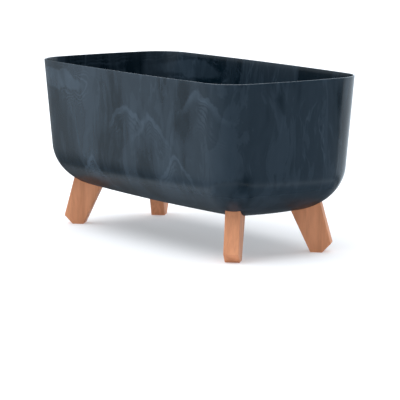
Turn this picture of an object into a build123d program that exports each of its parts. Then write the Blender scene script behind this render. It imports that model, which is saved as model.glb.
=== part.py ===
"""Raised planter: a thin moulded tub on four splayed plank legs, with a lift-out drainage insert.

Millimetres. +X runs along the planter's long side, +Y to its back and +Z up.
The origin is on the ground, under the middle of the tub.
Each leg's tenon goes up into a leaning socket on the tub's floor, and one screw with a
sealing washer holds it from inside. The drainage plate, its domes, ridge, port collar and wick
cups are one lift-out insert, which stands on the tub's floor and covers the sockets' tops.
"""
from build123d import *
import os
from math import cos, radians, sin, sqrt, tan

# ---- Tub ----
LENGTH = 600.0
WIDTH = 304.0
HEIGHT = 292.5
WALL = 3.0
DRAFT = 4.2  # degrees that each side leans in, going down
SIDE_BOW = 11.0  # how far each side bulges between its corners
RIM_CORNER = 61.0  # corner radius seen from above, at the rim
FLOOR_CORNER = 8.0  # corner radius of the flat underside
BELLY_RADIUS = 79.3  # rounding between the sides and the underside
UNDERSIDE_Z = 68.0
RIM_ROUND = 1.2
BELLY_SECTIONS = 9

# ---- Legs: planks that stand in the corners' diagonal planes ----
LEG_X = 228.6  # the foot's inner edge, in the middle of the plank
LEG_Y = 78.0
LEG_THICK = 25.0
FOOT_FLAT = 19.6
TOE_RUN = 14.6  # the sloping toe between the foot and the outer edge
TOE_RISE = 15.0
OUTER_LEAN = 15.0  # degrees from upright
INNER_LEAN = 25.5
LEG_ROUND = 1.2
SHOULDER_GAP = 0.15

# ---- Socket and tenon, which lean a little more than the leg ----
SOCKET_LEAN = 28.0
SOCKET_TOP_R = -45.5  # the middle of the socket's top, along the diagonal from the foot
SOCKET_TOP_Z = 115.0
SOCKET_WALL = 3.0
SOCKET_ROUND = 2.0
TENON_DEEP = 16.0  # along the diagonal
TENON_THICK = 17.0
TENON_GAP = 0.25
TENON_BELOW = 58.0  # from the socket's top down into the plank

# ---- Screws and sealing washers ----
SCREW_RADIUS = 2.25
SCREW_LENGTH = 36.0
SCREW_POINT = 5.0
HEAD_RADIUS = 4.5
HEAD_HEIGHT = 3.2
DRIVE_SIZE = 4.6
DRIVE_SLOT = 1.1
DRIVE_DEPTH = 1.6
HOLE_GAP = 0.35
PILOT_GAP = 0.05
WASHER_RADIUS = 7.0
WASHER_THICK = 1.5

# ---- Drainage insert ----
FLOOR_GAP = 0.3
PLATE = 2.5
PLATE_HEIGHT = 43.5  # the plate's top, over the ends of the cups
INSERT_GAP = 2.5
INSERT_CORNER = 62.0
PLATE_ROUND = 1.5
LIP_HEIGHT = 8.0
LIP_FLARE = 3.0
LIP_THICK = 2.0
CUP_PITCH = 70.0
CUP_ROW_Y = 60.0
CUP_MOUTH = 21.0  # radius
CUP_FOOT = 11.0  # radius
CUP_WALL = 1.8
CUP_SLOTS = 8
SLOT_WIDTH = 3.2
SLOT_TOP = 1.0  # below the plate
SLOT_BOTTOM = 5.0  # over the cup's foot
DOME_R = -48.0  # the dome's axis, along the diagonal from the foot
DOME_BASE = 25.0  # radius
DOME_TOP = 19.5  # radius
DOME_HEIGHT = 22.0
DOME_ROUND = 4.0
RIDGE_LENGTH = 292.0
RIDGE_MIDDLE = 74.0  # width at the base, half way along
RIDGE_END = 44.0  # width at the base, at each end
RIDGE_TOP_LENGTH = 282.0
RIDGE_TOP_WIDTH = 30.0
RIDGE_HEIGHT = 13.0
PORT_X = 217.0
PORT_BORE = 17.0  # radius
PORT_WALL = 2.5
PORT_HEIGHT = 6.0
PORT_STEP = 1.2  # how much wider the plate's hole is than the collar's bore
SLIT_LENGTH = 20.0
SLIT_WIDTH = 2.4
SLIT_PITCH = 22.0
SLIT_COUNT = 13
SLIT_Y = 98.0
END_SLIT_X = -222.0
END_SLIT_PITCH = 16.0
END_SLIT_COUNT = 3


def bowed_outline(half_length, half_width, bow, corner):
    """A flat outline: a rectangle whose sides bow out and whose corners are round."""
    x, y = half_length - bow, half_width - bow
    with BuildSketch() as outline:
        with BuildLine():
            ThreePointArc((-x, -y), (0, -half_width), (x, -y))
            ThreePointArc((x, -y), (half_length, 0), (x, y))
            ThreePointArc((x, y), (0, half_width), (-x, y))
            ThreePointArc((-x, y), (-half_length, 0), (-x, -y))
        make_face()
        fillet(outline.vertices(), corner)
    return outline.sketch


def belly_profile(inwards):
    """Height, inset and corner radius of sections round the belly, from its top to the underside.

    The corner radius shrinks in step with the outer surface's inset, from the rim's to the underside's.
    """
    lean = radians(DRAFT)
    belly_z = UNDERSIDE_Z + BELLY_RADIUS
    side_inset = (HEIGHT - RIM_ROUND - belly_z + BELLY_RADIUS * sin(lean)) * tan(lean)
    full_inset = side_inset + BELLY_RADIUS * cos(lean)
    rows = []
    for i in range(BELLY_SECTIONS):
        share = i / (BELLY_SECTIONS - 1)
        turn = lean + (radians(90) - lean) * share
        z = belly_z - (BELLY_RADIUS - inwards) * sin(turn)
        inset = full_inset - (BELLY_RADIUS - inwards) * cos(turn)
        outer_share = 1 - BELLY_RADIUS * cos(turn) / full_inset
        corner = RIM_CORNER + (FLOOR_CORNER - RIM_CORNER) * outer_share - inwards * (1 - share)
        rows.append((z, inset, corner))
    return rows


def loft_outlines(rows, ruled=False):
    """One solid lofted through bowed outlines, each given as height, inset and corner radius."""
    with BuildPart() as form:
        for z, inset, corner in rows:
            with BuildSketch(Plane.XY.offset(z)):
                add(bowed_outline(LENGTH / 2 - inset, WIDTH / 2 - inset, SIDE_BOW, corner))
        loft(ruled=ruled)
    return form.part


def tub_form(inwards, rim_turn):
    """The tub's outer form, moved inwards by a wall, its rim turning in (1) or out (-1)."""
    belly = belly_profile(inwards)
    inset = inwards / cos(radians(DRAFT))
    corner = RIM_CORNER - inwards
    rim = []
    for degrees in (0, 30, 60, 90):
        turned = rim_turn * RIM_ROUND * (1 - cos(radians(degrees)))
        z = HEIGHT - RIM_ROUND + RIM_ROUND * sin(radians(degrees))
        rim.append((z, inset + turned, corner - turned))
    with BuildPart() as form:
        add(loft_outlines(reversed(belly)))
        add(loft_outlines([belly[0], rim[0]], ruled=True))
        add(loft_outlines(rim, ruled=True))
    return form.part


def inset_at(z, inwards):
    """How far the tub's surface, moved inwards, stands in from its rim at height z."""
    lean = radians(DRAFT)
    top = HEIGHT - RIM_ROUND
    belly_z = UNDERSIDE_Z + BELLY_RADIUS
    side_end_z = belly_z - BELLY_RADIUS * sin(lean)
    if z > side_end_z:
        return (top - z) * tan(lean) + inwards / cos(lean)
    belly_inset = (top - side_end_z) * tan(lean) + BELLY_RADIUS * cos(lean)
    return belly_inset - sqrt(max((BELLY_RADIUS - inwards) ** 2 - (belly_z - z) ** 2, 0))


def cone_form(base_radius, top_radius, base_z, top_z, rounding=0.0):
    """A cone frustum about the Z axis, its top edge rounded, as one revolved solid."""
    with BuildPart() as form:
        with BuildSketch(Plane.XZ):
            with BuildLine():
                Polyline((0, base_z), (base_radius, base_z), (top_radius, top_z), (0, top_z), close=True)
            make_face()
        revolve(axis=Axis.Z)
        if rounding:
            fillet(form.edges().group_by(Axis.Z)[-1], rounding)
    return form.part


# The diagonal plane of the back right leg: x runs outwards from the foot, y up.
diagonal = Plane(origin=(LEG_X, LEG_Y, 0), x_dir=(1, 1, 0), z_dir=(1, -1, 0))
# The socket's own plane, at the middle of its top, square to the way the tenon leans.
lean = radians(SOCKET_LEAN)
socket_axis = (-sin(lean), cos(lean))
socket_across = (cos(lean), sin(lean))


def along_socket(across, down):
    """A point of the diagonal plane, from the middle of the socket's top."""
    r = SOCKET_TOP_R + across * socket_across[0] - down * socket_axis[0]
    z = SOCKET_TOP_Z + across * socket_across[1] - down * socket_axis[1]
    return (r, z)


def leaning_block(half_deep, thick, top, bottom):
    """A block that leans with the socket, between two depths below the socket's top."""
    with BuildPart() as block:
        with BuildSketch(diagonal):
            with BuildLine():
                Polyline(
                    along_socket(-half_deep, bottom),
                    along_socket(half_deep, bottom),
                    along_socket(half_deep, top),
                    along_socket(-half_deep, top),
                    close=True,
                )
            make_face()
        extrude(amount=thick / 2, both=True)
    return block.part


# The socket's top plane faces along its axis.
top_r, top_z = along_socket(0, 0)
top_point = diagonal.from_local_coords((top_r, top_z, 0))
axis_direction = diagonal.from_local_coords((top_r + socket_axis[0], top_z + socket_axis[1], 0)) - top_point
across_point = diagonal.from_local_coords((top_r + socket_across[0], top_z + socket_across[1], 0))
across_direction = across_point - top_point
socket_top = Plane(origin=top_point, x_dir=across_direction, z_dir=axis_direction)

CORNERS = {
    "back_right": [],
    "back_left": [Plane.YZ],
    "front_right": [Plane.XZ],
    "front_left": [Plane.YZ, Plane.XZ],
}


def at_corner(solid, corner):
    """The back right corner's solid, mirrored to another corner."""
    for about in CORNERS[corner]:
        solid = mirror(solid, about=about, mode=Mode.PRIVATE)
    return solid


def export(part, label):
    """Labels a finished piece and writes its STEP file."""
    part.label = label
    export_step(part, f"parts/{label}.step")


os.makedirs("parts", exist_ok=True)

# ---- Tub and sockets: outer form less a cavity, and a leaning tower round each pocket ----
socket_half = TENON_DEEP / 2 + TENON_GAP
socket_thick = TENON_THICK + 2 * TENON_GAP
with BuildPart() as tower:
    add(leaning_block(socket_half + SOCKET_WALL, socket_thick + 2 * SOCKET_WALL, 0, TENON_BELOW))
    fillet(tower.edges().filter_by(lambda e: abs(e.tangent_at(0).dot(axis_direction)) > 0.99), SOCKET_ROUND)
with BuildPart() as pocket:
    add(leaning_block(socket_half, socket_thick, SOCKET_WALL, 2 * TENON_BELOW))
with BuildPart() as screw_way:
    with BuildSketch(socket_top):
        Circle(SCREW_RADIUS + HOLE_GAP)
    extrude(amount=-2 * SOCKET_WALL)

with BuildPart() as cavity:
    add(tub_form(WALL, -1))
with BuildPart() as tub:
    add(tub_form(0, 1))
    add(cavity.part, mode=Mode.SUBTRACT)
    for corner in CORNERS:
        add(at_corner(pocket.part, corner), mode=Mode.SUBTRACT)
export(tub.part, "tub")

# The sockets stand on the tub's floor, each round its pocket.
with BuildPart() as socket:
    add(tower.part)
    add(cavity.part, mode=Mode.INTERSECT)
    add(pocket.part, mode=Mode.SUBTRACT)
    add(screw_way.part, mode=Mode.SUBTRACT)
export(Compound(children=[at_corner(socket.part, corner) for corner in CORNERS]), "leg_sockets")

# ---- Legs: a plank cut to the tub's underside, with its tenon and the screw's pilot hole ----
plank_top = SOCKET_TOP_Z
outer_foot = FOOT_FLAT + TOE_RUN
with BuildPart() as leg:
    with BuildSketch(diagonal):
        with BuildLine():
            Polyline(
                (0, 0),
                (FOOT_FLAT, 0),
                (outer_foot, TOE_RISE),
                (outer_foot - (plank_top - TOE_RISE) * tan(radians(OUTER_LEAN)), plank_top),
                (-plank_top * tan(radians(INNER_LEAN)), plank_top),
                close=True,
            )
        make_face()
    extrude(amount=LEG_THICK / 2, both=True)
    fillet(leg.edges(), LEG_ROUND)
    add(tub_form(-SHOULDER_GAP, 1), mode=Mode.SUBTRACT)
    add(leaning_block(TENON_DEEP / 2, TENON_THICK, SOCKET_WALL + TENON_GAP, TENON_BELOW))
    with BuildSketch(socket_top):
        Circle(SCREW_RADIUS + PILOT_GAP)
    extrude(amount=-SCREW_LENGTH, mode=Mode.SUBTRACT)
for corner in CORNERS:
    export(at_corner(leg.part, corner), f"leg_{corner}")

# ---- Screws, one down the axis of each tenon ----
with BuildPart() as screw:
    with BuildSketch(Plane.XZ):
        with BuildLine():
            Polyline(
                (0, WASHER_THICK + HEAD_HEIGHT),
                (HEAD_RADIUS * 0.55, WASHER_THICK + HEAD_HEIGHT),
                (HEAD_RADIUS, WASHER_THICK + HEAD_HEIGHT * 0.4),
                (HEAD_RADIUS, WASHER_THICK),
                (SCREW_RADIUS, WASHER_THICK),
                (SCREW_RADIUS, SCREW_POINT - SCREW_LENGTH),
                (0, -SCREW_LENGTH),
                close=True,
            )
        make_face()
    revolve(axis=Axis.Z)
    with Locations((0, 0, WASHER_THICK + HEAD_HEIGHT)):
        Box(DRIVE_SIZE, DRIVE_SLOT, 2 * DRIVE_DEPTH, mode=Mode.SUBTRACT)
        Box(DRIVE_SLOT, DRIVE_SIZE, 2 * DRIVE_DEPTH, mode=Mode.SUBTRACT)
placed_screw = socket_top.location * screw.part
export(Compound(children=[at_corner(placed_screw, corner) for corner in CORNERS]), "leg_screws")

# ---- Washers that seal the screws' holes ----
with BuildPart() as washer:
    Cylinder(WASHER_RADIUS, WASHER_THICK, align=(Align.CENTER, Align.CENTER, Align.MIN))
    Cylinder(SCREW_RADIUS + HOLE_GAP, 4 * WASHER_THICK, mode=Mode.SUBTRACT)
    fillet(washer.edges().group_by(Axis.Z)[-1].sort_by(SortBy.RADIUS)[-1], WASHER_THICK / 3)
placed_washer = socket_top.location * washer.part
export(Compound(children=[at_corner(placed_washer, corner) for corner in CORNERS]), "sealing_washers")

# ---- Drainage plate and the eight slotted wick cups under it ----
# The outer cups' feet reach on to the start of the curve, which holds the insert up a little.
floor_z = UNDERSIDE_Z + WALL
curve = BELLY_RADIUS - WALL
flat_half = WIDTH / 2 - inset_at(floor_z, WALL) - SIDE_BOW * (3 * CUP_PITCH / LENGTH) ** 2
reach = max(CUP_ROW_Y + CUP_FOOT - flat_half, 0)
foot_z = floor_z + curve - sqrt(curve ** 2 - reach ** 2) + FLOOR_GAP
plate_top = foot_z + PLATE_HEIGHT
plate_bottom = plate_top - PLATE
lip_top = plate_top + LIP_HEIGHT
edge_inset = inset_at(plate_bottom, WALL) + INSERT_GAP
outside = []
for degrees in (0, 45, 90):
    rise = PLATE_ROUND * (1 - cos(radians(degrees)))
    turned = PLATE_ROUND * (1 - sin(radians(degrees)))
    outside.append((plate_bottom + rise, edge_inset + turned, INSERT_CORNER - turned))
outside.append((lip_top, edge_inset - LIP_FLARE, INSERT_CORNER + LIP_FLARE))
inside = [
    (plate_top, edge_inset + LIP_THICK, INSERT_CORNER - LIP_THICK),
    (lip_top, edge_inset + LIP_THICK - LIP_FLARE, INSERT_CORNER + LIP_FLARE - LIP_THICK),
]
cup_centres = [
    (CUP_PITCH * (i - 1.5), row * CUP_ROW_Y)
    for row in (-1, 1)
    for i in range(4)
]
cup_outer = cone_form(CUP_FOOT, CUP_MOUTH, foot_z, plate_bottom)
cup_inner = cone_form(CUP_FOOT - CUP_WALL, CUP_MOUTH - CUP_WALL, foot_z + PLATE, plate_top + PLATE)
dome_top = plate_top + DOME_HEIGHT
dome_outer = cone_form(DOME_BASE, DOME_TOP, plate_top, dome_top, DOME_ROUND)
dome_under = dome_top - PLATE
dome_inner = cone_form(DOME_BASE - PLATE, DOME_TOP - PLATE, plate_bottom - PLATE, dome_under, DOME_ROUND / 2)
dome_point = diagonal.from_local_coords((DOME_R, 0, 0))
dome_centres = [(i * dome_point.X, j * dome_point.Y) for i in (-1, 1) for j in (-1, 1)]


def ridge_form(inwards, base_z):
    """The plate's long ridge, its base bowed on both sides, moved inwards by a wall."""
    x, y, middle = RIDGE_LENGTH / 2 - inwards, RIDGE_END / 2 - inwards, RIDGE_MIDDLE / 2 - inwards
    with BuildPart() as form:
        with BuildSketch(Plane.XY.offset(base_z)):
            with BuildLine():
                ThreePointArc((-x, -y), (0, -middle), (x, -y))
                Line((x, -y), (x, y))
                ThreePointArc((x, y), (0, middle), (-x, y))
                Line((-x, y), (-x, -y))
            make_face()
        with BuildSketch(Plane.XY.offset(base_z + RIDGE_HEIGHT)):
            Rectangle(RIDGE_TOP_LENGTH - 2 * inwards, RIDGE_TOP_WIDTH - 2 * inwards)
        loft(ruled=True)
    return form.part


with BuildPart() as plate:
    add(loft_outlines(outside, ruled=True))
    add(loft_outlines(inside, ruled=True), mode=Mode.SUBTRACT)
    with Locations(*cup_centres):
        add(cup_inner, mode=Mode.SUBTRACT)
    with Locations(*dome_centres):
        add(dome_inner, mode=Mode.SUBTRACT)
    add(ridge_form(PLATE, plate_bottom), mode=Mode.SUBTRACT)
    with Locations((PORT_X, 0, plate_bottom)):
        Cylinder(PORT_BORE + PORT_STEP, 4 * PLATE, mode=Mode.SUBTRACT)
    with BuildSketch(Plane.XY.offset(plate_bottom)):
        with Locations((0, SLIT_Y), (0, -SLIT_Y)):
            with GridLocations(SLIT_PITCH, 1, SLIT_COUNT, 1):
                SlotOverall(SLIT_LENGTH, SLIT_WIDTH, rotation=90)
        with Locations((END_SLIT_X, 0)):
            with GridLocations(1, END_SLIT_PITCH, 1, END_SLIT_COUNT):
                SlotOverall(SLIT_LENGTH, SLIT_WIDTH)
    extrude(amount=2 * PLATE, mode=Mode.SUBTRACT)
export(plate.part, "drainage_plate")

# ---- What stands on the plate: domes over the sockets, the long ridge and the port's collar ----
with BuildPart() as dome:
    add(dome_outer)
    add(dome_inner, mode=Mode.SUBTRACT)
export(Compound(children=[Location((x, y, 0)) * dome.part for x, y in dome_centres]), "plate_domes")

with BuildPart() as ridge:
    add(ridge_form(0, plate_top))
    add(ridge_form(PLATE, plate_bottom), mode=Mode.SUBTRACT)
export(ridge.part, "plate_ridge")

with BuildPart() as collar:
    with Locations((PORT_X, 0, plate_top)):
        Cylinder(PORT_BORE + PORT_WALL, PORT_HEIGHT, align=(Align.CENTER, Align.CENTER, Align.MIN))
        Cylinder(PORT_BORE, 4 * PORT_HEIGHT, mode=Mode.SUBTRACT)
export(collar.part, "port_collar")

# ---- Wick cups, whose mouths meet the plate's holes ----
slot_height = plate_bottom - SLOT_TOP - foot_z - SLOT_BOTTOM
with BuildPart() as wick_cup:
    add(cup_outer)
    add(cup_inner, mode=Mode.SUBTRACT)
    with Locations((0, 0, foot_z + SLOT_BOTTOM + slot_height / 2)):
        with PolarLocations(0, CUP_SLOTS // 2, 0, 180):
            Box(2 * CUP_MOUTH, SLOT_WIDTH, slot_height, mode=Mode.SUBTRACT)
for number, (x, y) in enumerate(cup_centres, start=1):
    export(Location((x, y, 0)) * wick_cup.part, f"wick_cup_{number}")
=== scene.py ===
"""Looks for the raised planter: a marbled plastic tub on four plank legs, with its drainage insert.

Metres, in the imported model's frame: +X along the long side, +Y to the back, +Z up, ground at 0.
"""
from math import cos, radians, sin, tan

import bpy
import numpy as np
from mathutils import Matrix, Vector


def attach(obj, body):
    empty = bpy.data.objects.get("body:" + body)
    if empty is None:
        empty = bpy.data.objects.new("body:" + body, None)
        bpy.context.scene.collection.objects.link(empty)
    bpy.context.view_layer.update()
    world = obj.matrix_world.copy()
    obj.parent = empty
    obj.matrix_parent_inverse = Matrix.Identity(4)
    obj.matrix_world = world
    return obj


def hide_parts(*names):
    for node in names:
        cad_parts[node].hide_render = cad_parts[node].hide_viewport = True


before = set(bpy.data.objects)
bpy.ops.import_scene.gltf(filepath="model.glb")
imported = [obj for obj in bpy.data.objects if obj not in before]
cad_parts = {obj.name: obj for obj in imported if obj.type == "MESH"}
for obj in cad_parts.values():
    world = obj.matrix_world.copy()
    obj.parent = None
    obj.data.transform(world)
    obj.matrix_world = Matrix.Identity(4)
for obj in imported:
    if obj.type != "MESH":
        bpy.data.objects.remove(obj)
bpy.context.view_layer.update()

# ---- Studio ----
# A pale seamless floor under one very broad light, in a room that the glossy tub mirrors. The camera
# is a long lens a little above the rim.
scene = bpy.context.scene
scene.view_settings.view_transform = "Standard"

CAMERA_AZIMUTH = radians(55.37)
CAMERA_ELEVATION = radians(8.72)
CAMERA_DISTANCE = 3.9605
CAMERA_AIM = Vector((0.0059, 0.0085, 0.0633))
CAMERA_LENS = 208.34
SENSOR_WIDTH = 36.0
VIEW_LIMIT = 60.0

camera_data = bpy.data.cameras.new("camera")
camera_data.lens = CAMERA_LENS
camera_data.sensor_width = SENSOR_WIDTH
camera_data.clip_end = VIEW_LIMIT
camera = bpy.data.objects.new("camera", camera_data)
scene.collection.objects.link(camera)
backwards = Vector((
    sin(CAMERA_AZIMUTH) * cos(CAMERA_ELEVATION),
    -cos(CAMERA_AZIMUTH) * cos(CAMERA_ELEVATION),
    sin(CAMERA_ELEVATION),
))
camera.location = CAMERA_AIM + CAMERA_DISTANCE * backwards
camera.rotation_euler = backwards.to_track_quat("Z", "Y").to_euler()
scene.camera = camera


class Value:
    """A socket whose arithmetic adds Math nodes to its tree."""

    def __init__(self, nodes, socket):
        self.nodes = nodes
        self.socket = socket

    def math(self, operation, *operands):
        return self.nodes.node("ShaderNodeMath", {"operation": operation}, dict(enumerate(operands)))

    def __add__(self, other):
        return self.math("ADD", self, other)

    def __sub__(self, other):
        return self.math("SUBTRACT", self, other)

    def __rsub__(self, other):
        return self.math("SUBTRACT", other, self)

    def __mul__(self, other):
        return self.math("MULTIPLY", self, other)

    def __pow__(self, other):
        return self.math("POWER", self, other)

    __radd__ = __add__
    __rmul__ = __mul__

    def absolute(self):
        return self.math("ABSOLUTE", self)

    def maximum(self, other):
        return self.math("MAXIMUM", self, other)

    def zigzag(self, rate):
        """Up from 0 to 1 and down again, once for each 1 / rate of the value."""
        return self.math("PINGPONG", self * rate, 0.5) * 2.0

    def ramp(self, low, high):
        """0 below low, 1 above high, smooth between."""
        settings = {"interpolation_type": "SMOOTHSTEP"}
        return self.nodes.node("ShaderNodeMapRange", settings, {0: self, 1: low, 2: high, 3: 0.0, 4: 1.0})


class Nodes:
    """A node tree that is built node by node."""

    def __init__(self, tree):
        self.tree = tree

    def node(self, kind, settings, inputs, output=0):
        """Adds a node, makes its settings, then sets or links its inputs, and returns one output."""
        made = self.tree.nodes.new(kind)
        for name, value in settings.items():
            setattr(made, name, value)
        for name, value in inputs.items():
            if isinstance(value, Value):
                self.tree.links.new(value.socket, made.inputs[name])
            else:
                made.inputs[name].default_value = value
        return Value(self, made.outputs[output])


class Finish(Nodes):
    """A material with a Principled shader."""

    def __init__(self, name, **constants):
        self.material = bpy.data.materials.new(name)
        self.material.use_nodes = True
        super().__init__(self.material.node_tree)
        self.shader = self.tree.nodes["Principled BSDF"]
        for socket, value in constants.items():
            self.shader.inputs[socket.replace("_", " ")].default_value = value

    def place(self, scale=(1, 1, 1), turn=(0, 0, 0), centre=(0, 0, 0)):
        """Object coordinates, moved, turned and scaled."""
        point = self.node("ShaderNodeTexCoord", {}, {}, "Object")
        moved = self.node("ShaderNodeVectorMath", {"operation": "SUBTRACT"}, {0: point, 1: centre})
        return self.node("ShaderNodeMapping", {}, {"Vector": moved, "Rotation": turn, "Scale": scale})

    def noise(self, point, scale, detail=4.0, roughness=0.55, distortion=0.0, output="Fac"):
        inputs = {"Vector": point, "Scale": scale, "Detail": detail, "Roughness": roughness}
        inputs["Distortion"] = distortion
        return self.node("ShaderNodeTexNoise", {}, inputs, output)

    def mix(self, share, first, second):
        """A colour between two colours."""
        settings = {"data_type": "RGBA"}
        return self.node("ShaderNodeMix", settings, {"Factor": share, 6: first, 7: second}, 2)

    def warp(self, point, field, amount):
        """A point pushed about by a noise's colour."""
        centred = self.node("ShaderNodeVectorMath", {"operation": "SUBTRACT"}, {0: field, 1: (0.5, 0.5, 0.5)})
        scaled = self.node("ShaderNodeVectorMath", {"operation": "MULTIPLY"}, {0: centred, 1: amount})
        return self.node("ShaderNodeVectorMath", {"operation": "ADD"}, {0: point, 1: scaled})

    def bump(self, height, strength, distance):
        inputs = {"Strength": strength, "Distance": distance, "Height": height}
        return self.node("ShaderNodeBump", {}, inputs)

    def set(self, **links):
        """Links values to the shader's own sockets."""
        for socket, value in links.items():
            self.tree.links.new(value.socket, self.shader.inputs[socket.replace("_", " ")])
        return self.material


KEY_FROM = Vector((-0.10, -0.12, 1.0))
KEY_SPREAD = radians(76)
KEY_STRENGTH = 3.3
KEY_GLOSS = 0.5
key_data = bpy.data.lights.new("key_light", "SUN")
key_data.energy = KEY_STRENGTH
key_data.angle = KEY_SPREAD
key_data.specular_factor = KEY_GLOSS
key = bpy.data.objects.new("key_light", key_data)
key.rotation_euler = KEY_FROM.to_track_quat("Z", "Y").to_euler()
scene.collection.objects.link(key)

# The room: pale overhead, a bright wall with sharp edges behind the planter, a broad soft light to
# its left front, and dark elsewhere. The tub's sides lean in, so they mirror what lies below its
# height too, and the glossy belly mirrors the near floor and a pale line where that starts.
WALL_FACING = (-0.17, 0.985, 0.0)
SOFT_FACING = (-0.62, -0.76, 0.15)
UPWARDS = (0.0, 0.0, 1.0)
ROOM_COLOUR = (0.86, 0.97, 1.07, 1.0)
DARK_LEVEL = 0.08
WALL_LEVEL = 1.30
SOFT_LEVEL = 0.60
OVERHEAD_LEVEL = 0.50
NEAR_FLOOR_LEVEL = 0.22
LINE_LEVEL = 0.60
world = bpy.data.worlds.new("room")
world.use_nodes = True
scene.world = world
room = Nodes(world.node_tree)
view = room.node("ShaderNodeTexCoord", {}, {}, "Generated")


def towards(direction):
    """How nearly a view direction points along a fixed one: its cosine."""
    return room.node("ShaderNodeVectorMath", {"operation": "DOT_PRODUCT"}, {0: view, 1: direction}, "Value")


height = towards(UPWARDS)
wall = towards(WALL_FACING).ramp(0.66, 0.69) * height.ramp(-0.50, -0.30)
soft = towards(SOFT_FACING).ramp(0.0, 1.0) * height.ramp(-0.60, -0.10)
overhead = height.ramp(0.05, 0.95)
near_floor = (1 - height.ramp(-0.60, -0.54)) * towards(SOFT_FACING).ramp(-0.2, 0.4)
line = height.ramp(-0.60, -0.55) * (1 - height.ramp(-0.52, -0.47))
brightness = DARK_LEVEL + WALL_LEVEL * wall + SOFT_LEVEL * soft + OVERHEAD_LEVEL * overhead
brightness = brightness + NEAR_FLOOR_LEVEL * near_floor + LINE_LEVEL * line
background = world.node_tree.nodes["Background"]
world.node_tree.links.new(brightness.socket, background.inputs["Strength"])
background.inputs["Color"].default_value = ROOM_COLOUR

# The floor glows a little, so that its shadows stay pale.
FLOOR_HALF = 14.0
FLOOR_COLOUR = (0.66, 0.66, 0.67, 1.0)
FLOOR_GLOW_COLOUR = (1.0, 0.995, 1.0, 1.0)
FLOOR_GLOW = 0.31
floor_mesh = bpy.data.meshes.new("floor")
floor_corners = [(-1, -1), (1, -1), (1, 1), (-1, 1)]
floor_points = [(FLOOR_HALF * x, FLOOR_HALF * y, 0.0) for x, y in floor_corners]
floor_mesh.from_pydata(floor_points, [], [(0, 1, 2, 3)])
floor = bpy.data.objects.new("floor", floor_mesh)
scene.collection.objects.link(floor)
pale = Finish(
    "pale_floor",
    Base_Color=FLOOR_COLOUR,
    Roughness=1.0,
    Specular_IOR_Level=0.0,
    Emission_Color=FLOOR_GLOW_COLOUR,
    Emission_Strength=FLOOR_GLOW,
)
floor_mesh.materials.append(pale.material)
floor.visible_glossy = False

# ---- Tub ----
# One injection-moulded shell of polypropylene: sides that bow out between round corners and lean in
# towards a round belly and a flat underside. The melt carries a paler master batch that the flow
# draws into upright streaks and swirls.
HALF_LENGTH = 0.300
HALF_WIDTH = 0.152
RIM_HEIGHT = 0.2925
RIM_ROUND = 0.0012
WALL = 0.003
DRAFT = radians(4.2)
SIDE_BOW = 0.011
RIM_CORNER = 0.061
FLOOR_CORNER = 0.008
BELLY_RADIUS = 0.0793
UNDERSIDE = 0.068
# Rows down the side, round the belly and over the rim, and steps along a half long side, round a
# corner and along a half short side.
WALL_ROWS = (22, 30, 6)
OUTLINE_STEPS = (34, 22, 18)
# The flat underside's loops shrink to this share of its outline before they close on its middle.
INNERMOST_LOOP = 0.12
FLAT_LOOPS = 8


def belly_rows(inwards, count):
    """Height, inset and corner radius round the belly, a quarter circle from side to underside.

    The circle starts at the side's draft. The corner radius shrinks in step with the outer surface's
    inset.
    """
    belly_z = UNDERSIDE + BELLY_RADIUS
    side_inset = (RIM_HEIGHT - RIM_ROUND - belly_z + BELLY_RADIUS * sin(DRAFT)) * tan(DRAFT)
    full_inset = side_inset + BELLY_RADIUS * cos(DRAFT)
    share = np.linspace(0, 1, count)
    turn = DRAFT + (radians(90) - DRAFT) * share
    z = belly_z - (BELLY_RADIUS - inwards) * np.sin(turn)
    inset = full_inset - (BELLY_RADIUS - inwards) * np.cos(turn)
    outer_share = 1 - BELLY_RADIUS * np.cos(turn) / full_inset
    corner = RIM_CORNER + (FLOOR_CORNER - RIM_CORNER) * outer_share - inwards * (1 - share)
    return np.stack([z, inset, corner], axis=1)


def wall_rows(inwards, rim_turn, side_count, belly_count, rim_count):
    """Rows from the rim's top, over its quarter round, down the straight side and round the belly."""
    belly = belly_rows(inwards, belly_count)
    side_top = np.array([RIM_HEIGHT - RIM_ROUND, inwards / cos(DRAFT), RIM_CORNER - inwards])
    down = np.linspace(0, 1, side_count + 2)[1:-1, None]
    side = side_top * (1 - down) + belly[0] * down
    turn = np.linspace(radians(90), 0, rim_count)
    turned = rim_turn * RIM_ROUND * (1 - np.cos(turn))
    rim_z = side_top[0] + RIM_ROUND * np.sin(turn)
    rim = np.stack([rim_z, side_top[1] + turned, side_top[2] - turned], axis=1)
    return np.concatenate([rim, side, belly])


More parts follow.
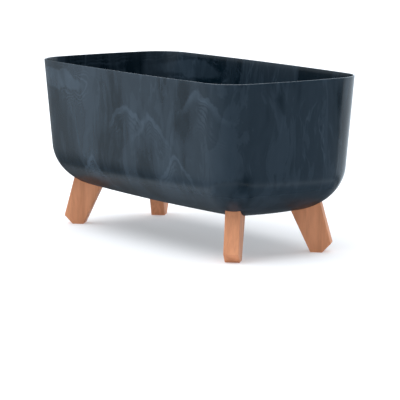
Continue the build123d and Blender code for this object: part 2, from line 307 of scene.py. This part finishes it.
def outline(inset, corner, long_steps, corner_steps, short_steps):
    """Points round a bowed rectangle with round corners, one loop for each inset and corner radius.

    Each side is an arc whose rise is the bow. The corner's circle touches both side arcs from
    within, so its centre is where circles of the side radii less the corner radius cross.
    """
    inset, corner = inset[:, None], corner[:, None]
    chord_x = HALF_LENGTH - inset - SIDE_BOW
    chord_y = HALF_WIDTH - inset - SIDE_BOW
    long_radius = (chord_x ** 2 + SIDE_BOW ** 2) / (2 * SIDE_BOW)
    short_radius = (chord_y ** 2 + SIDE_BOW ** 2) / (2 * SIDE_BOW)
    long_y = HALF_WIDTH - inset - long_radius
    short_x = HALF_LENGTH - inset - short_radius
    # The two circles' centres are (0, long_y) and (short_x, 0).
    first, second = long_radius - corner, short_radius - corner
    apart = np.hypot(short_x, long_y)
    along = (first ** 2 - second ** 2 + apart ** 2) / (2 * apart)
    across = np.sqrt(first ** 2 - along ** 2)
    unit_x, unit_y = short_x / apart, -long_y / apart
    centre_x = along * unit_x + across * unit_y
    centre_y = long_y + along * unit_y - across * unit_x
    long_end = np.arctan2(centre_x, centre_y - long_y)
    short_end = np.arctan2(centre_y, centre_x - short_x)

    def arc(middle_x, middle_y, radius, start, end, steps):
        angle = start + (end - start) * np.linspace(0, 1, steps + 1)[:-1]
        return middle_x + radius * np.cos(angle), middle_y + radius * np.sin(angle)

    quarter = radians(90)
    parts = [
        arc(short_x, 0, short_radius, 0, short_end, short_steps),
        arc(centre_x, centre_y, corner, short_end, quarter - long_end, corner_steps),
        arc(0, long_y, long_radius, quarter - long_end, quarter, long_steps),
    ]
    x = np.concatenate([part[0] for part in parts], axis=1)
    y = np.concatenate([part[1] for part in parts], axis=1)
    # The other three quarters repeat the first, turned or mirrored so that the loop runs one way.
    top_x, top_y = np.zeros_like(x[:, :1]), HALF_WIDTH - inset
    x2, y2 = -x[:, :0:-1], y[:, :0:-1]
    half_x = np.concatenate([x, top_x, x2], axis=1)
    half_y = np.concatenate([y, top_y, y2], axis=1)
    return np.concatenate([half_x, -half_x], axis=1), np.concatenate([half_y, -half_y], axis=1)


def grid_faces(rows, columns):
    """Quads between neighbouring rows of a grid whose columns close on themselves."""
    i = np.arange(rows - 1)[:, None] * columns
    j = np.arange(columns)[None, :]
    k = (j + 1) % columns
    return np.stack([i + j, i + k, i + columns + k, i + columns + j], axis=-1).reshape(-1, 4)


def build_mesh(name, points, faces, smooth_angle=None):
    """A mesh object at the origin from arrays of points and of faces, smooth but for sharp edges."""
    mesh = bpy.data.meshes.new(name)
    mesh.from_pydata(np.asarray(points).tolist(), [], [list(map(int, face)) for face in faces])
    mesh.polygons.foreach_set("use_smooth", np.ones(len(mesh.polygons), dtype=bool))
    if smooth_angle is not None:
        mesh.set_sharp_from_angle(angle=smooth_angle)
    mesh.update()
    made = bpy.data.objects.new(name, mesh)
    scene.collection.objects.link(made)
    return made


def tub_shell():
    """The shell as one loop of rows: underside's middle, belly, side, rim, inside, floor's middle."""
    outer = wall_rows(0.0, 1, *WALL_ROWS)[::-1]
    inner = wall_rows(WALL, -1, *WALL_ROWS)[1:]
    rows = np.concatenate([outer, inner])
    x, y = outline(rows[:, 1], rows[:, 2], *OUTLINE_STEPS)
    z = np.repeat(rows[:, :1], x.shape[1], axis=1)
    flat = np.linspace(INNERMOST_LOOP, 1, FLAT_LOOPS + 1)[:-1, None]
    x = np.concatenate([flat * x[:1], x, flat[::-1] * x[-1:]])
    y = np.concatenate([flat * y[:1], y, flat[::-1] * y[-1:]])
    z = np.concatenate([np.repeat(z[:1], len(flat), axis=0), z, np.repeat(z[-1:], len(flat), axis=0)])
    points = np.stack([x, y, z], axis=-1).reshape(-1, 3)
    count, columns = x.shape
    faces = grid_faces(count, columns)
    bottom, top = len(points), len(points) + 1
    points = np.concatenate([points, [[0, 0, UNDERSIDE], [0, 0, UNDERSIDE + WALL]]])
    j = np.arange(columns)
    k = (j + 1) % columns
    last = (count - 1) * columns
    bottom_fan = np.stack([np.full(columns, bottom), k, j], axis=1)
    top_fan = np.stack([last + j, last + k, np.full(columns, top)], axis=1)
    return points, list(faces) + list(bottom_fan) + list(top_fan)


tub_points, tub_faces = tub_shell()
tub = build_mesh("tub_shell", tub_points, tub_faces)
DARK_MELT = (0.0015, 0.0085, 0.015, 1.0)
PALE_MELT = (0.040, 0.062, 0.086, 1.0)
marbled = Finish("marbled_plastic", Specular_IOR_Level=0.42)
point = marbled.place()
swirl = marbled.noise(marbled.place(scale=(1, 1, 0.6)), 5.0, 2.0, 0.5, output="Color")
flowing = marbled.warp(point, swirl, (0.10, 0.10, 0.14))
upright = marbled.node("ShaderNodeMapping", {}, {"Vector": flowing, "Scale": (1.0, 1.0, 0.28)})
patches = marbled.noise(upright, 11.0, 3.5, 0.55).ramp(0.44, 0.56)
flakes = marbled.noise(upright, 34.0, 4.0, 0.6, 0.8).ramp(0.49, 0.57)
# Wisps: thin bright lines where a stretched noise passes its middle value.
wisp_field = marbled.noise(upright, 26.0, 3.0, 0.55)
wisps = 1 - (wisp_field - 0.5).absolute().ramp(0.0, 0.022)
wisp_area = marbled.noise(marbled.place(centre=(0.3, 0.1, 0.2)), 7.0, 2.0, 0.5).ramp(0.48, 0.66)

# Where two fronts of melt met, nested arches hang from a tip: x and z of each tip, slope, depth.
ARCHES = [
    (0.012, 0.242, 0.75, 0.060),
    (0.082, 0.240, 1.00, 0.060),
    (0.215, 0.284, 0.85, 0.080),
    (0.150, 0.175, 1.20, 0.040),
    (-0.110, 0.150, 1.30, 0.045),
]
STRIPES_PER_METRE = 130.0
wobble_field = marbled.noise(point, 16.0, 4.0, 0.6, output="Color")
wobble = marbled.warp(point, wobble_field, (0.05, 0.0, 0.05))
flow_x = marbled.node("ShaderNodeSeparateXYZ", {}, {0: wobble}, "X")
flow_z = marbled.node("ShaderNodeSeparateXYZ", {}, {0: wobble}, "Z")
breaks = marbled.noise(upright, 30.0, 2.0, 0.5).ramp(0.42, 0.58)


def arch(tip_x, tip_z, slope, depth):
    """A rounded upside-down V: a soft bright edge, then broken stripes that fade inwards and aside."""
    across = ((flow_x - tip_x) ** 2 + 0.00006) ** 0.5
    inside = (tip_z - flow_z) - across * slope
    stripes = inside.zigzag(STRIPES_PER_METRE)
    window = 1 - across.ramp(0.015, 0.075)
    edge = inside.ramp(-0.004, 0.002) * (1 - inside.ramp(0.002, 0.25 * depth))
    nest = inside.ramp(0.0, 0.006) * (1 - inside.ramp(0.2 * depth, depth)) * (1 - stripes.ramp(0.35, 0.8))
    return window * (0.8 * edge + 0.5 * breaks * nest)


arches = arch(*ARCHES[0])
for tip in ARCHES[1:]:
    arches = arches.maximum(arch(*tip))

# Near one end a lens of paler melt lies along the rim.
LENS = (-0.205, 0.262)
LENS_HALF = (0.080, 0.018)
lens_x = (flow_x - LENS[0]) * (1 / LENS_HALF[0])
lens_z = (flow_z - LENS[1]) * (1 / LENS_HALF[1])
lens_out = (lens_x ** 2 + lens_z ** 2) ** 0.5
lens = 1 - lens_out.ramp(0.80, 1.10)
lens_round = lens_out.ramp(1.0, 1.2) * (1 - lens_out.ramp(1.3, 2.3))
lens_threads = (1 - lens_out.zigzag(4.0).ramp(0.1, 0.6)) * lens_round * breaks

fine = marbled.noise(upright, 80.0, 4.0, 0.6)
share = 0.03 + 0.38 * patches + 0.16 * flakes + 0.34 * wisps * wisp_area + 0.60 * arches
share = share + 0.20 * (fine - 0.5)
share = share + 0.45 * lens + 0.35 * lens_threads
colour = marbled.mix(share, DARK_MELT, PALE_MELT)
grain = marbled.noise(point, 900.0, 2.0, 0.5)
# The underside is duller than the sides.
low_down = 1 - marbled.node("ShaderNodeSeparateXYZ", {}, {0: point}, "Z").ramp(0.085, 0.120)
finish = marbled.set(
    Base_Color=colour,
    Roughness=0.16 + 0.05 * patches + 0.30 * low_down,
    Normal=marbled.bump(grain, 0.012, 0.0004),
)
tub.data.materials.append(finish)
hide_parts("tub")
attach(tub, "planter")


def coat(node, material):
    """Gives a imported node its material."""
    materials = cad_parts[node].data.materials
    materials.clear()
    materials.append(material)


# The four leaning sockets on its floor are the same moulding.
coat("leg_sockets", finish)

# ---- Legs ----
# Solid planks of oiled hardwood, sawn to a leaning outline and sanded. The grain runs down the leg.
LEG_DARK = (0.54, 0.226, 0.114, 1.0)
LEG_PALE = (0.80, 0.360, 0.194, 1.0)
LEG_TURNS = {
    "leg_back_right": 45,
    "leg_back_left": 135,
    "leg_front_left": 225,
    "leg_front_right": 315,
}
for name, degrees in LEG_TURNS.items():
    wood = Finish(f"{name}_wood", Specular_IOR_Level=0.15)
    along = wood.place(scale=(1, 1, 0.12), turn=(0, 0, -radians(degrees)))
    fibres = wood.noise(along, 420.0, 4.0, 0.6)
    bands = wood.noise(along, 70.0, 3.0, 0.55, 0.6)
    share = fibres * 0.45 + bands.ramp(0.35, 0.65) * 0.55
    colour = wood.mix(share, LEG_DARK, LEG_PALE)
    ridges = wood.bump(fibres, 0.12, 0.0003)
    coat(name, wood.set(Base_Color=colour, Roughness=0.5 + 0.15 * fibres, Normal=ridges))

# ---- Screws and sealing washers ----
# Zinc-plated pan-head screws with a cross recess, on soft rubber washers, at the tops of the sockets.
zinc = Finish("zinc_plate", Metallic=1.0)
tarnish = zinc.noise(zinc.place(), 260.0, 4.0, 0.6)
zinc_colour = zinc.mix(tarnish, (0.42, 0.43, 0.45, 1.0), (0.68, 0.68, 0.70, 1.0))
coat("leg_screws", zinc.set(Base_Color=zinc_colour, Roughness=0.25 + 0.25 * tarnish))

rubber = Finish("washer_rubber", Specular_IOR_Level=0.3)
dust = rubber.noise(rubber.place(), 500.0, 3.0, 0.6)
rubber_colour = rubber.mix(dust, (0.012, 0.012, 0.013, 1.0), (0.035, 0.035, 0.036, 1.0))
rubber_bump = rubber.bump(dust, 0.2, 0.0002)
coat("sealing_washers", rubber.set(Base_Color=rubber_colour, Roughness=0.6 + 0.2 * dust, Normal=rubber_bump))

# ---- Drainage insert ----
# One moulding of dark recycled polypropylene with a fine spark-eroded texture.
matt = Finish("insert_plastic", Specular_IOR_Level=0.4)
texture = matt.noise(matt.place(), 1400.0, 2.0, 0.5)
mottle = matt.noise(matt.place(), 24.0, 4.0, 0.6)
insert_colour = matt.mix(mottle.ramp(0.3, 0.7), (0.040, 0.043, 0.050, 1.0), (0.060, 0.064, 0.072, 1.0))
insert_finish = matt.set(
    Base_Color=insert_colour,
    Roughness=0.48 + 0.12 * mottle,
    Normal=matt.bump(texture, 0.15, 0.0003),
)
INSERT_PARTS = ["drainage_plate", "plate_domes", "plate_ridge", "port_collar"]
INSERT_PARTS += [f"wick_cup_{number}" for number in range(1, 9)]
for name in INSERT_PARTS:
    coat(name, insert_finish)
